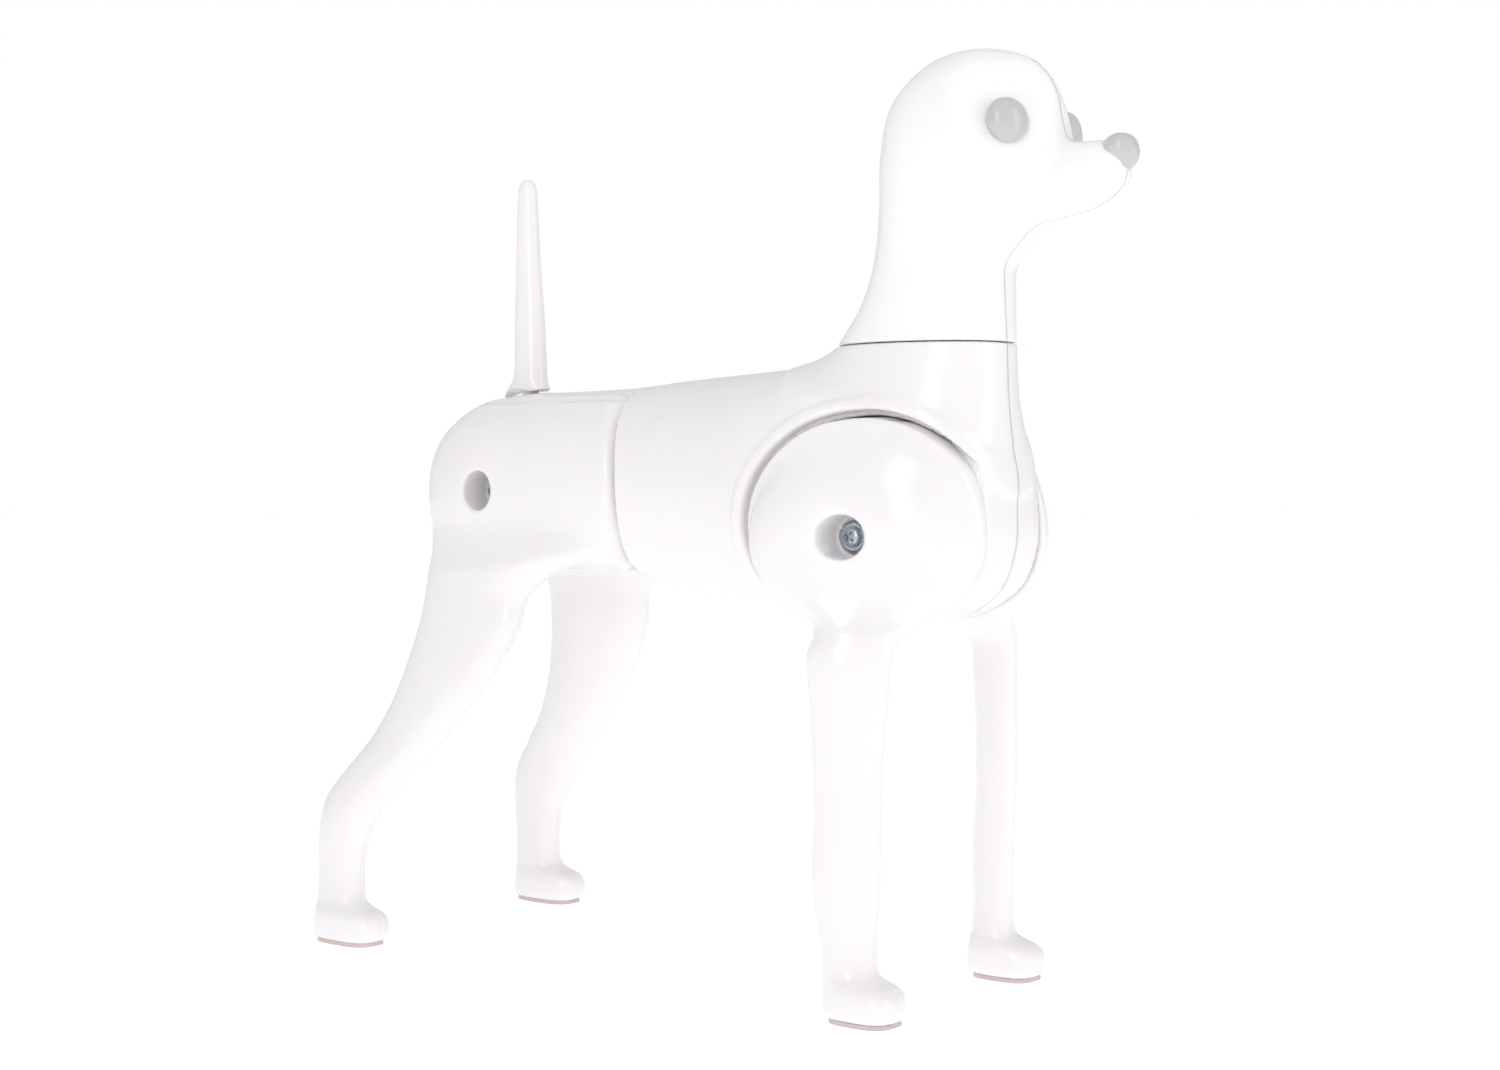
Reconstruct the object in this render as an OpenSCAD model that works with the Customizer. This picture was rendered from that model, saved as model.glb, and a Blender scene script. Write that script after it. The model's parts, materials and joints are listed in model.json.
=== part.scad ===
// Posable dog figure: hollow moulded shells on four screwed leg pivots, a turning head and a turning tail.
// X points to the nose, Y to the dog's left, Z up. The soles stand on Z = 0.

/* [Shells] */
// Wall thickness of the moulded shells
wall = 2.6; // [2.2:0.1:3]
// Side gap between pieces that turn against each other
face_gap = 0.3; // [0.3:0.05:0.5]

/* [Shoulder] */
// Shoulder axis, forward of the centre
shoulder_x = 105; // [103:0.5:107]
// Shoulder axis height
shoulder_z = 215; // [213:0.5:217]
// Radius of the round shoulder pocket in the torso
pocket_r = 57; // [55.5:0.5:58]
// Half distance between the two shoulder pocket floors
pocket_floor = 24; // [22:0.5:25]

/* [Hip] */
// Hip axis, forward of the centre (negative is behind)
hip_x = -130; // [-132:0.5:-128]
// Hip axis height
hip_z = 235; // [233:0.5:237]
// Radius of the haunch's front edge about the hip axis
haunch_r = 90; // [88:0.5:91]
// Clearance between haunch edge and torso step
haunch_gap = 1.5; // [1:0.25:2.5]
// Half width of the pelvis between the haunches
pelvis_half = 20; // [19:0.5:20]

/* [Feet] */
// Thickness of the rubber soles
sole_t = 2; // [1.5:0.1:2.5]

/* [Pivot hardware] */
// Radius of the screw shank
shank_r = 2.5; // [2.4:0.05:2.6]
// Radius of the screw head
head_r = 4.7; // [4.4:0.1:5]
// Radius of the counterbore around each leg screw
well_r = 10; // [9:0.25:10.5]
// Outer radius of the cross tubes
tube_r = 8; // [7:0.25:9]
// Radial clearance of the bushes on the screws
bush_play = 0.08; // [0.05:0.01:0.1]

/* [Neck and tail] */
// Height of the flat seam between torso and head
seam_z = 302.5; // [302:0.25:303]
// Centre of the neck seam, forward
neck_x = 110; // [109:0.5:111]
// Radius of the neck plug
plug_r = 17.5; // [15:0.5:17.5]
// Tail axis, forward of the centre (negative is behind)
tail_x = -140; // [-142:0.5:-138]
// Radius of the tail's stud
stud_r = 4.5; // [4:0.25:5]

/* [Hidden] */

// Every organic piece is a loft over ribs. A rib is a closed oval that stands on the line from
// point P0 to point P1 in the X-Z plane:
// [P0 x, P0 z, P1 x, P1 z, mid y, y drift along the rib, outer half width, inner half width, squareness,
//  thinning of the outer half towards P1]
// The outer half lies on the far side of mid y from the dog's centre, the inner half on the near side.

// Torso: from the rump forward along the barrel, round under the shoulders and up to the neck seam.
TORSO = [
    [-186, 241, -186, 231, 0, 0, 5, 5, 2, 0],
    [-184, 252, -184, 220, 0, 0, 17, 17, 2, 0],
    [-177, 266, -177, 206, 0, 0, 31, 31, 2.05, 0],
    [-164, 278, -164, 195, 0, 0, 42, 42, 2.05, 0],
    [-139, 285.5, -139, 190, 0, 0, 49, 49, 2.05, 0],
    [-105, 286, -105, 191, 0, 0, 50, 50, 2.1, 0],
    [-62, 287, -62, 191.5, 0, 0, 50, 50, 2.1, 0],
    [-25, 289.9, -25, 187, 0, 0, 51.5, 51.5, 2.1, 0],
    [14, 292.2, 14, 180, 0, 0, 56.5, 56.5, 2.15, 0],
    [37, 293.5, 52, 173.5, 0, 0, 61, 61, 2.2, 0],
    [41, 293.7, 92, 173, 0, 0, 61.5, 61.5, 2.25, 0],
    [44, 293.9, 127, 176.5, 0, 0, 60.5, 60.5, 2.4, 0],
    [46, 294.2, 149, 189, 0, 0, 58.5, 58.5, 2.55, 0],
    [48, 294.8, 158, 208, 0, 0, 55, 55, 2.65, 0],
    [51, 295.8, 159, 230, 0, 0, 48.5, 48.5, 2.55, 0],
    [55, 297.5, 157, 254, 0, 0, 40, 40, 2.35, 0],
    [60, 300, 154.5, 277, 0, 0, 36, 36, 2.1, 0],
    [66, 302.5, 153.5, 302.5, 0, 0, 33, 33, 2.1, 0]];

// Head: from the neck seam up the neck, over the skull and forward along the muzzle.
HEAD = [
    [66, 302.8, 153.5, 302.8, 0, 0, 33, 33, 2.1, 0],
    [80, 321, 152.5, 321, 0, 0, 32.3, 32.3, 2.1, 0],
    [88, 341, 152.5, 337, 0, 0, 32.5, 32.5, 2.1, 0],
    [92, 366, 159, 346, 0, 0, 36, 36, 2.1, 0],
    [94, 391, 164, 351, 0, 0, 40, 40, 2.1, 0],
    [101, 415, 167, 353, 0, 0, 42, 42, 2.1, 0],
    [120, 431, 169, 354, 0, 0, 42, 42, 2.1, 0],
    [142, 435, 170.5, 354.7, 0, 0, 39, 39, 2.1, -0.05],
    [162.5, 430, 173, 355.2, 0, 0, 27.5, 27.5, 2.1, -0.35],
    [173.5, 421.5, 176, 355.6, 0, 0, 19, 19, 2.1, -0.35],
    [179.3, 411, 179, 356, 0, 0, 15.5, 15.5, 2.1, -0.32],
    [181.8, 399, 182, 356.5, 0, 0, 14.3, 14.3, 2.1, -0.22],
    [185, 391, 185.2, 357, 0, 0, 13.8, 13.8, 2.1, -0.1],
    [191, 389.2, 190.2, 357.7, 0, 0, 13.3, 13.3, 2.1, 0],
    [199, 388.9, 197, 359.3, 0, 0, 12.5, 12.5, 2.1, 0],
    [207, 388, 206, 363.2, 0, 0, 10.5, 10.5, 2.1, 0],
    [212.5, 384.5, 212, 368.5, 0, 0, 7, 7, 2.1, 0],
    [214.5, 378, 214.3, 374, 0, 0, 2, 2, 2, 0]];

// Front left leg: level ribs from the sole to the top of the shoulder disc (P0 behind, P1 in front).
FRONT_LEG = [
    [101, sole_t, 134, sole_t, 60, 0, 12.5, 12.5, 3, 0],
    [99, 6, 135.5, 6, 60, 0, 14, 14, 3, 0],
    [98.5, 12.5, 135, 12.5, 60, 0, 14, 14, 2.8, 0],
    [98.5, 16, 131.5, 16, 60, -0.5, 13.3, 13.3, 2.6, 0],
    [98.3, 18.5, 125, 18.5, 60.2, -1, 12.3, 12.3, 2.4, 0],
    [98, 22, 121.5, 22, 60.5, -2, 11, 11, 2.2, 0],
    [97.5, 34, 120.8, 34, 61, -3, 9.8, 9.8, 2, 0],
    [95.5, 50, 122, 50, 61.5, -4.4, 9.5, 9.5, 2, 0],
    [94.7, 66, 122.7, 66, 62, -5.3, 9.3, 9.3, 2, 0],
    [96, 90, 123.5, 90, 62.3, -5.5, 9.2, 9.2, 2, 0],
    [95.7, 115, 124, 115, 62.3, -5.8, 9.3, 9.3, 2, 0],
    [94.3, 140, 125, 140, 61.7, -7, 9.6, 9.6, 2, 0],
    [93, 162, 126, 162, 60.5, -8.3, 10.5, 12, 2, 0],
    [92, 171, 127.5, 171, 53, -7, 15, 20, 2.1, 0.1],
    [86, 178.5, 133, 178.5, 43, -8, 21, 18.7, 2.2, 0.3],
    [66, 188, 146, 188, 36, -9, 27, 11.7, 2.4, 0.5],
    [52.5, 206, 157, 206, 34, -7, 30, 9.7, 2.4, 0.62],
    [52.5, 224, 157, 224, 34, -7, 29.5, 9.7, 2.4, 0.62],
    [59, 241, 150.5, 241, 33, -6, 25, 8.7, 2.6, 0.5],
    [70, 254.5, 139.5, 254.5, 32, -5, 18, 7.7, 2.6, 0.4],
    [83, 263, 127, 263, 31, -3, 12, 6.7, 2.6, 0.3],
    [95, 267, 115, 267, 30, -1, 7.5, 5.7, 2.5, 0.1]];

// Hind left leg: level ribs from the sole to the top edge of the haunch (P0 behind, P1 in front).
HIND_LEG = [
    [-217.5, sole_t, -178, sole_t, 76, 0, 11.5, 11.5, 3, 0],
    [-219, 6, -175, 6, 76, 0, 12.7, 12.7, 3, 0],
    [-219, 12.5, -175.5, 12.5, 76, 0, 12.7, 12.7, 2.8, 0],
    [-219, 16, -179, 16, 76, 0, 12.2, 12.2, 2.6, 0],
    [-219, 18.5, -186.5, 18.5, 75.8, 0, 11.4, 11.4, 2.4, 0],
    [-219, 22.5, -190.5, 22.5, 75.5, 0, 10.5, 10.5, 2.2, 0],
    [-219, 36, -191, 36, 75, 0, 9.8, 9.8, 2.1, 0],
    [-219.5, 50, -189, 50, 74.5, 0, 10.3, 10.3, 2.1, 0],
    [-219, 63, -183, 63, 73.5, 0, 11, 11, 2.1, 0],
    [-215.5, 76, -173.5, 76, 71.5, 0, 11.3, 11.3, 2.1, 0],
    [-203, 92, -157.5, 92, 67.5, 0, 11.7, 11.7, 2.1, 0],
    [-190, 108, -143, 108, 63, 0, 12, 12, 2.1, 0],
    [-180.5, 126, -127, 126, 58.8, 0, 12.3, 12.3, 2.1, 0],
    [-174, 145, -113, 145, 55, 0, 12.6, 12.6, 2.1, 0],
    [-169.5, 165, -103, 165, 50.5, 0, 12.8, 12.8, 2.1, 0],
    [-168, 182, -99, 182, 47, 0, 13.3, 13, 2.1, 0],
    [-169, 194, -84, 194, 43, 0, 15.5, 15, 2.2, 0],
    [-171, 203, -55, 203, 38, 0, 17, 15.5, 2.4, 0],
    [-174.5, 215, -42.5, 215, 33.5, 0, 18, 13.2, 2.5, 0],
    [-177, 233, -40, 233, 31, 0, 19, 10.7, 2.5, 0],
    [-175.5, 251, -41.6, 251, 30, 0, 17.5, 9.7, 2.5, 0],
    [-168.5, 265, -45.2, 265, 28, 0, 13.5, 7.7, 2.5, 0],
    [-153, 275, -49.6, 275, 25, 0, 7.5, 4.7, 2.5, 0],
    [-138, 280, -53, 280, 22.9, 0, 3.4, 2.6, 2.5, 0]];

// Tail: level ribs from the saddle to the round tip.
TAIL = [
    [-158.5, 282.2, -127.5, 288.2, 0, 0, 8.8, 8.8, 2.2, 0],
    [-155, 287, -129, 290, 0, 0, 8.4, 8.4, 2.1, 0],
    [-150.5, 293, -130, 293, 0, 0, 8, 8, 2, 0],
    [-149, 299, -130.5, 299, 0, 0, 7.7, 7.7, 2, 0],
    [-148.7, 325, -131.8, 325, 0, 0, 7, 7, 2, 0],
    [-148, 360, -134.5, 360, 0, 0, 5.7, 5.7, 2, 0],
    [-147.2, 388, -136, 388, 0, 0, 4.8, 4.8, 2, 0],
    [-146.5, 395, -137, 395, 0, 0, 4.2, 4.2, 2, 0],
    [-144.6, 398.6, -139, 398.6, 0, 0, 2.2, 2.2, 2, 0]];

// Screw stacks. Each leg's counterbore floor lies this far from the centre plane.
shoulder_floor = 50;
hip_floor = 33;
// Flat washer and spring washer under each screw head
washer_r = 6.3;
washer_t = 1;
spring_t = 0.8;
screw_head_h = 3.4;
insert_r = 4;
insert_len = 12;
bush_r = 6;
post_wall = 2.2;
floor_t = 3;
// Eyes: centre of the seat, how far the eye turns forward from straight sideways, and its upward lift
eye_x = 169;
eye_y = 26.5;
eye_z = 397.5;
eye_turn = 62;
eye_lift = 9;
eye_r = 10.2;
eye_h = 6.5;
eye_skirt = 7;
eye_nut_depth = 10.4;
// Nose button: centre of its seat and its tilt down from vertical
nose_x = 209;
nose_z = 382.5;
nose_tilt = 62;
nose_r = 8.3;
nose_rise = 1.6;
nose_sink = 1;
nose_nut_depth = 6.5;
stem_r = 2;
stem_end = 2.5;
nut_r = 4.5;
nut_t = 1;
// Neck joint
collar_t = 5;
collar_len = 34;
flange_r = 29.4;
plug_flange_t = 4;
ring_r = 1.6;
play = 0.08;
// Tail joint
saddle_z = 284.5;
socket_len = 22;
saddle_r = 22;
saddle_back = 3;
stud_top = 308;

// Reach beyond the widest piece, and facets round each half loft
far = 95;
torso_m = 14;
head_m = 12;
leg_m = 9;
tail_m = 8;

$fn = 48;
function spow(v, e) = sign(v) * pow(abs(v), e);

// Point of rib s at angle a (0 at P1, 180 at P0), set in by inset; side 1 outer half, -1 inner half.
// The outside never comes nearer to the dog's centre plane than near.
function rib_point(s, a, side, inset, near = -far) =
    let (c = [s[0] + s[2], s[1] + s[3]] / 2, h = [s[2] - s[0], s[3] - s[1]] / 2)
    let (k = max(norm(h) - inset, 0.3) / norm(h), e = 2 / s[8], t = k * spow(cos(a), e))
    let (grow = side > 0 ? 1 - s[9] * t : 1, b = max((side > 0 ? s[6] : s[7]) - inset, 0.2))
    [c[0] + h[0] * t, max(s[4] + s[5] * t + side * b * grow * spow(sin(a), e), near + inset), c[1] + h[1] * t];

// Closed skin made of rows of points, from four-cornered and three-cornered faces
module skin(points, quads, tips, flip) {
    faces = concat([for (q = quads) each [[q[0], q[1], q[2]], [q[0], q[2], q[3]]]], tips);
    polyhedron(points, [for (f = faces) flip ? [f[0], f[2], f[1]] : f]);
}

// Half of a lofted tube as a shell, with m facets round the half
module half_shell(stations, side, m, near = -far) {
    last = len(stations) - 1;
    row = 2 * m + 2;
    points = [for (r = stations) each concat([for (j = [0:m]) rib_point(r, 180 * j / m, side, 0, near)],
        [for (j = [0:m]) rib_point(r, 180 * j / m, side, wall, near)])];
    function o(i, j) = i * row + j;
    function n(i, j) = i * row + m + 1 + j;
    quads = concat(
        [for (i = [0:last - 1]) for (j = [0:m - 1]) [o(i, j), o(i, j + 1), o(i + 1, j + 1), o(i + 1, j)]],
        [for (i = [0:last - 1]) for (j = [0:m - 1]) [n(i, j), n(i + 1, j), n(i + 1, j + 1), n(i, j + 1)]],
        [for (i = [0:last - 1]) [o(i, 0), o(i + 1, 0), n(i + 1, 0), n(i, 0)]],
        [for (i = [0:last - 1]) [o(i, m), n(i, m), n(i + 1, m), o(i + 1, m)]],
        [for (j = [0:m - 1]) [o(0, j), n(0, j), n(0, j + 1), o(0, j + 1)]],
        [for (j = [0:m - 1]) [o(last, j), o(last, j + 1), n(last, j + 1), n(last, j)]]);
    skin(points, quads, [], side > 0);
}

// Solid half of a lofted body, set in by inset
module half_solid(stations, side, m, inset) {
    last = len(stations) - 1;
    points = [for (r = stations) for (j = [0:m]) rib_point(r, 180 * j / m, side, inset)];
    function o(i, j) = i * (m + 1) + j;
    quads = concat(
        [for (i = [0:last - 1]) for (j = [0:m - 1]) [o(i, j), o(i, j + 1), o(i + 1, j + 1), o(i + 1, j)]],
        [for (i = [0:last - 1]) [o(i, 0), o(i + 1, 0), o(i + 1, m), o(i, m)]]);
    tips = concat([for (j = [1:m - 1]) [o(0, 0), o(0, j + 1), o(0, j)]],
        [for (j = [1:m - 1]) [o(last, 0), o(last, j), o(last, j + 1)]]);
    skin(points, quads, tips, side > 0);
}

// Solid whole loft, both halves in one skin
module full_solid(stations, m) {
    last = len(stations) - 1;
    row = 2 * m;
    points = [for (r = stations) for (j = [0:row - 1])
        j <= m ? rib_point(r, 180 * j / m, 1, 0) : rib_point(r, 360 - 180 * j / m, -1, 0)];
    function o(i, j) = i * row + j % row;
    quads = concat(
        [for (i = [0:last - 1]) for (j = [0:row - 1]) [o(i, j), o(i, j + 1), o(i + 1, j + 1), o(i + 1, j)]],
        [for (j = [1:m - 1]) [o(0, j), o(0, row - j), o(0, row - j - 1), o(0, j + 1)]],
        [for (j = [1:m - 1]) [o(last, j), o(last, j + 1), o(last, row - j - 1), o(last, row - j)]]);
    tips = [[o(0, 0), o(0, row - 1), o(0, 1)], [o(last, 0), o(last, 1), o(last, row - 1)]];
    skin(points, quads, tips, true);
}

// Flat outline of a rib seen from above, set in by inset
function outline(s, inset, m = 16) =
    [for (j = [0:2 * m - 1]) let (p = j <= m ? rib_point(s, 180 * j / m, 1, inset)
        : rib_point(s, 360 - 180 * j / m, -1, inset)) [p[0], p[1]]];

// Round bar along Y about a pivot, from y0 to y1
module bar(x, z, r, y0, y1) {
    translate([x, y0, z]) rotate([-90, 0, 0]) cylinder(h = y1 - y0, r = r);
}
module ring(x, z, r_out, r_in, y0, y1) {
    difference() {
        bar(x, z, r_out, y0, y1);
        bar(x, z, r_in, y0 - 1, y1 + 1);
    }
}
module both_sides() {
    children();
    mirror([0, 1, 0]) children();
}

// ---- Torso ----
module torso_half() {
    difference() {
        union() {
            half_shell(TORSO, 1, torso_m);
            intersection() {
                half_solid(TORSO, 1, torso_m, wall / 2);
                union() {
                    bar(shoulder_x, shoulder_z, pocket_r + wall, pocket_floor - floor_t, far);
                    bar(hip_x, hip_z, haunch_r + haunch_gap + wall, pelvis_half - floor_t, far);
                }
            }
        }
        bar(shoulder_x, shoulder_z, pocket_r, pocket_floor, far);
        bar(hip_x, hip_z, haunch_r + haunch_gap, pelvis_half, far);
        bar(shoulder_x, shoulder_z, tube_r + 0.02, 0, far);
        bar(hip_x, hip_z, tube_r + 0.02, 0, far);
        translate([tail_x, 0, saddle_z - 12]) cylinder(h = 30, r = stud_r + 2.52);
    }
}
module torso_left_shell() { color("white") torso_half(); }
module torso_right_shell() { color("white") mirror([0, 1, 0]) torso_half(); }
module neck_collar() {
    color("gainsboro") translate([neck_x, 0, 0]) rotate_extrude()
        polygon([[plug_r + play, seam_z - collar_len], [plug_r + 3, seam_z - collar_len],
            [plug_r + 3, seam_z - collar_t - 0.5], [flange_r + 0.2, seam_z - collar_t - 0.5],
            [flange_r + 0.2, seam_z - 0.5], [plug_r + play, seam_z - 0.5]]);
}
module cross_tube(x, z, half) {
    ring(x, z, tube_r, insert_r + 0.02, -half, half);
}
module shoulder_tube() { color("gray") cross_tube(shoulder_x, shoulder_z, pocket_floor); }
module hip_tube() { color("gray") cross_tube(hip_x, hip_z, pelvis_half); }
module thread_inserts() {
    color("goldenrod") both_sides() {
        ring(shoulder_x, shoulder_z, insert_r, shank_r + 0.05, pocket_floor - insert_len, pocket_floor);
        ring(hip_x, hip_z, insert_r, shank_r + 0.05, pelvis_half - insert_len, pelvis_half);
    }
}

// ---- Screws and washers, fixed to the torso ----
function stack_y(floor_y) = floor_y + face_gap;
module leg_screw(x, z, floor_y, tip_y) {
    seat = stack_y(floor_y) + spring_t + washer_t;
    difference() {
        union() {
            bar(x, z, shank_r, tip_y, seat);
            bar(x, z, head_r, seat, seat + screw_head_h);
        }
        for (a = [0, 90]) translate([x, seat + screw_head_h - 1.8, z]) rotate([0, 45 + a, 0])
            translate([-2.7, 0, -0.5]) cube([5.4, 3, 1]);
    }
}
module shoulder_screws() {
    color("silver") both_sides() leg_screw(shoulder_x, shoulder_z, shoulder_floor, pocket_floor - insert_len + 1);
}
module hip_screws() {
    color("silver") both_sides() leg_screw(hip_x, hip_z, hip_floor, pelvis_half - insert_len + 1);
}
module washer_pair(x, z, y0, t, r) {
    both_sides() ring(x, z, r, shank_r + 0.15, y0, y0 + t);
}
module flat_washers() {
    color("silver") {
        washer_pair(shoulder_x, shoulder_z, stack_y(shoulder_floor) + spring_t, washer_t, washer_r);
        washer_pair(hip_x, hip_z, stack_y(hip_floor) + spring_t, washer_t, washer_r);
    }
}
module spring_washers() {
    color("dimgray") {
        washer_pair(shoulder_x, shoulder_z, stack_y(shoulder_floor), spring_t, washer_r - 1);
        washer_pair(hip_x, hip_z, stack_y(hip_floor), spring_t, washer_r - 1);
    }
}

// ---- Legs ----
module leg_outer(stations, x, z, floor_y) {
    difference() {
        union() {
            half_shell(stations, 1, leg_m);
            intersection() {
                half_solid(stations, 1, leg_m, wall / 2);
                bar(x, z, well_r + post_wall, floor_y - floor_t, far);
            }
        }
        bar(x, z, well_r, floor_y, far);
        bar(x, z, bush_r + 0.02, 0, far);
    }
}
module leg_inner(stations, x, z, face_y, boss_y, near) {
    difference() {
        union() {
            half_shell(stations, -1, leg_m, near);
            bar(x, z, bush_r + post_wall, face_y + 1, boss_y);
        }
        bar(x, z, bush_r + 0.02, 0, far);
    }
}
module leg_bush(x, z, face_y, floor_y) {
    ring(x, z, bush_r, shank_r + bush_play, face_y + 0.2, floor_y);
}
module sole(stations) {
    linear_extrude(sole_t) polygon(outline(stations[0], 0.6));
    translate([0, 0, sole_t]) linear_extrude(3) polygon(outline(stations[0], wall + 0.9));
}
module front_outer() { leg_outer(FRONT_LEG, shoulder_x, shoulder_z, shoulder_floor); }
module front_inner() {
    face_y = pocket_floor + face_gap;
    leg_inner(FRONT_LEG, shoulder_x, shoulder_z, face_y, shoulder_floor - floor_t - 5, face_y);
}
module hind_outer() { leg_outer(HIND_LEG, hip_x, hip_z, hip_floor); }
module hind_inner() {
    leg_inner(HIND_LEG, hip_x, hip_z, pelvis_half + face_gap, hip_floor - floor_t - 1, -far);
}
module front_bush() { leg_bush(shoulder_x, shoulder_z, pocket_floor + face_gap, shoulder_floor); }
module hind_bush() { leg_bush(hip_x, hip_z, pelvis_half + face_gap, hip_floor); }
module flipped() { mirror([0, 1, 0]) children(); }

module front_left_outer_shell() { color("white") front_outer(); }
module front_left_inner_shell() { color("whitesmoke") front_inner(); }
module front_left_bush() { color("gray") front_bush(); }
module front_left_sole() { color("rosybrown") sole(FRONT_LEG); }
module front_right_outer_shell() { color("white") flipped() front_outer(); }
module front_right_inner_shell() { color("whitesmoke") flipped() front_inner(); }
module front_right_bush() { color("gray") flipped() front_bush(); }
module front_right_sole() { color("rosybrown") flipped() sole(FRONT_LEG); }
module hind_left_outer_shell() { color("white") hind_outer(); }
module hind_left_inner_shell() { color("whitesmoke") hind_inner(); }
module hind_left_bush() { color("gray") hind_bush(); }
module hind_left_sole() { color("rosybrown") sole(HIND_LEG); }
module hind_right_outer_shell() { color("white") flipped() hind_outer(); }
module hind_right_inner_shell() { color("whitesmoke") flipped() hind_inner(); }
module hind_right_bush() { color("gray") flipped() hind_bush(); }
module hind_right_sole() { color("rosybrown") flipped() sole(HIND_LEG); }

// ---- Head ----
// Places its children at the left eye with +Z out of the skin
module at_eye() {
    translate([eye_x, eye_y, eye_z]) rotate([0, 0, 90 - eye_turn]) rotate([0, 90 - eye_lift, 0])
        children();
}
module at_nose() {
    translate([nose_x, 0, nose_z]) rotate([0, nose_tilt, 0]) children();
}
module head_half() {
    difference() {
        half_shell(HEAD, 1, head_m);
        at_eye() translate([0, 0, -15]) cylinder(h = 24, r = stem_r + 0.05);
        at_nose() translate([0, 0, -14]) cylinder(h = 28, r = stem_r + 0.05);
        at_nose() translate([0, 0, -nose_sink]) cylinder(h = 20, r = nose_r + 0.1);
    }
}
module head_left_shell() { color("white") head_half(); }
module head_right_shell() { color("white") mirror([0, 1, 0]) head_half(); }
// Round stem from behind the push nut up to the given height
module stem(depth, top) {
    translate([0, 0, -depth - nut_t - stem_end]) cylinder(h = depth + nut_t + stem_end + top, r = stem_r);
}
module eye() {
    ball_r = (eye_r * eye_r + eye_h * eye_h) / (2 * eye_h);
    difference() {
        at_eye() rotate_extrude() {
            intersection() {
                translate([0, eye_h - ball_r]) circle(r = ball_r, $fn = 64);
                square([eye_r, eye_h]);
            }
            polygon([[0, -eye_skirt], [0.7 * eye_r, -eye_skirt], [eye_r, 0], [0, 0]]);
        }
        half_solid(HEAD, 1, head_m, -0.1);
    }
    at_eye() stem(eye_nut_depth, 3);
}
module left_eye() { color("darkgray") eye(); }
module right_eye() { color("darkgray") mirror([0, 1, 0]) eye(); }
module nose() {
    color("darkgray") at_nose() {
        rotate_extrude() intersection() {
            translate([0, nose_rise]) circle(r = nose_r, $fn = 64);
            translate([0, -nose_sink]) square([nose_r, nose_sink + nose_rise + nose_r]);
        }
        stem(nose_nut_depth, 0);
    }
}
module push_nut(depth) {
    translate([0, 0, -depth - nut_t]) difference() {
        cylinder(h = nut_t, r = nut_r);
        translate([0, 0, -1]) cylinder(h = nut_t + 2, r = stem_r + 0.02);
    }
}
module face_push_nuts() {
    color("silver") {
        both_sides() at_eye() push_nut(eye_nut_depth);
        at_nose() push_nut(nose_nut_depth);
    }
}
module neck_plug() {
    top = seam_z + 0.8 + plug_flange_t;
    low = seam_z - collar_len - 6;
    color("gainsboro") translate([neck_x, 0, 0]) difference() {
        union() {
            translate([0, 0, top - plug_flange_t]) cylinder(h = plug_flange_t, r = flange_r);
            translate([0, 0, low]) cylinder(h = top - low, r = plug_r);
        }
        translate([0, 0, low - 1]) cylinder(h = top - low + 2, r = plug_r - 6);
        translate([0, 0, seam_z - 14]) rotate_extrude() translate([plug_r - 3.4, 0]) square([6, 2 * ring_r + 0.3]);
        translate([0, 0, low + 2]) rotate_extrude() translate([plug_r - 2, 0]) square([6, 2]);
    }
}
module neck_friction_ring() {
    color("black") translate([neck_x, 0, seam_z - 14 + ring_r + 0.15]) rotate_extrude()
        translate([plug_r - ring_r, 0]) circle(r = ring_r, $fn = 24);
}
module neck_clip() {
    color("silver") translate([neck_x, 0, seam_z - collar_len - 3.9]) difference() {
        cylinder(h = 1.6, r = plug_r + 3);
        translate([0, 0, -1]) cylinder(h = 4, r = plug_r - 2);
        translate([0, -4, -1]) cube([plug_r + 5, 8, 4]);
    }
}

// ---- Tail ----
module tail_socket() {
    color("gainsboro") translate([tail_x, 0, saddle_z - socket_len]) difference() {
        cylinder(h = socket_len, r = stud_r + 2.5);
        translate([0, 0, -1]) cylinder(h = socket_len + 2, r = stud_r + play);
    }
}
module tail() {
    color("white") difference() {
        full_solid(TAIL, tail_m);
        bar(tail_x - saddle_back, saddle_z - 16.2, saddle_r, -15, 15);
        translate([tail_x, 0, 280]) cylinder(h = 28, r = stud_r + 0.02);
    }
}
module tail_stud() {
    color("gainsboro") translate([tail_x, 0, saddle_z - socket_len - 5]) difference() {
        cylinder(h = stud_top - saddle_z + socket_len + 5, r = stud_r);
        translate([0, 0, 2]) rotate_extrude() translate([stud_r - 1, 0]) square([3, 1.6]);
    }
}
module tail_clip() {
    color("silver") translate([tail_x, 0, saddle_z - socket_len - 2.9]) difference() {
        cylinder(h = 1.4, r = stud_r + 2.5);
        translate([0, 0, -1]) cylinder(h = 4, r = stud_r - 1);
        translate([0, -1.5, -1]) cube([stud_r + 4, 3, 4]);
    }
}

torso_left_shell();
torso_right_shell();
neck_collar();
shoulder_tube();
hip_tube();
thread_inserts();
shoulder_screws();
hip_screws();
flat_washers();
spring_washers();
tail_socket();
head_left_shell();
head_right_shell();
neck_plug();
neck_friction_ring();
neck_clip();
left_eye();
right_eye();
nose();
face_push_nuts();
front_left_outer_shell();
front_left_inner_shell();
front_left_bush();
front_left_sole();
front_right_outer_shell();
front_right_inner_shell();
front_right_bush();
front_right_sole();
hind_left_outer_shell();
hind_left_inner_shell();
hind_left_bush();
hind_left_sole();
hind_right_outer_shell();
hind_right_inner_shell();
hind_right_bush();
hind_right_sole();
tail();
tail_stud();
tail_clip();
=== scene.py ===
"""Looks of the posable model dog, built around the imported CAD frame.

The shells are smooth lofts over ribs, joined and cut with rounded edges as distance fields, and meshed
on a fine grid. Lengths are in millimetres until a mesh is made, then in metres.
"""
import json
import math

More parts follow.
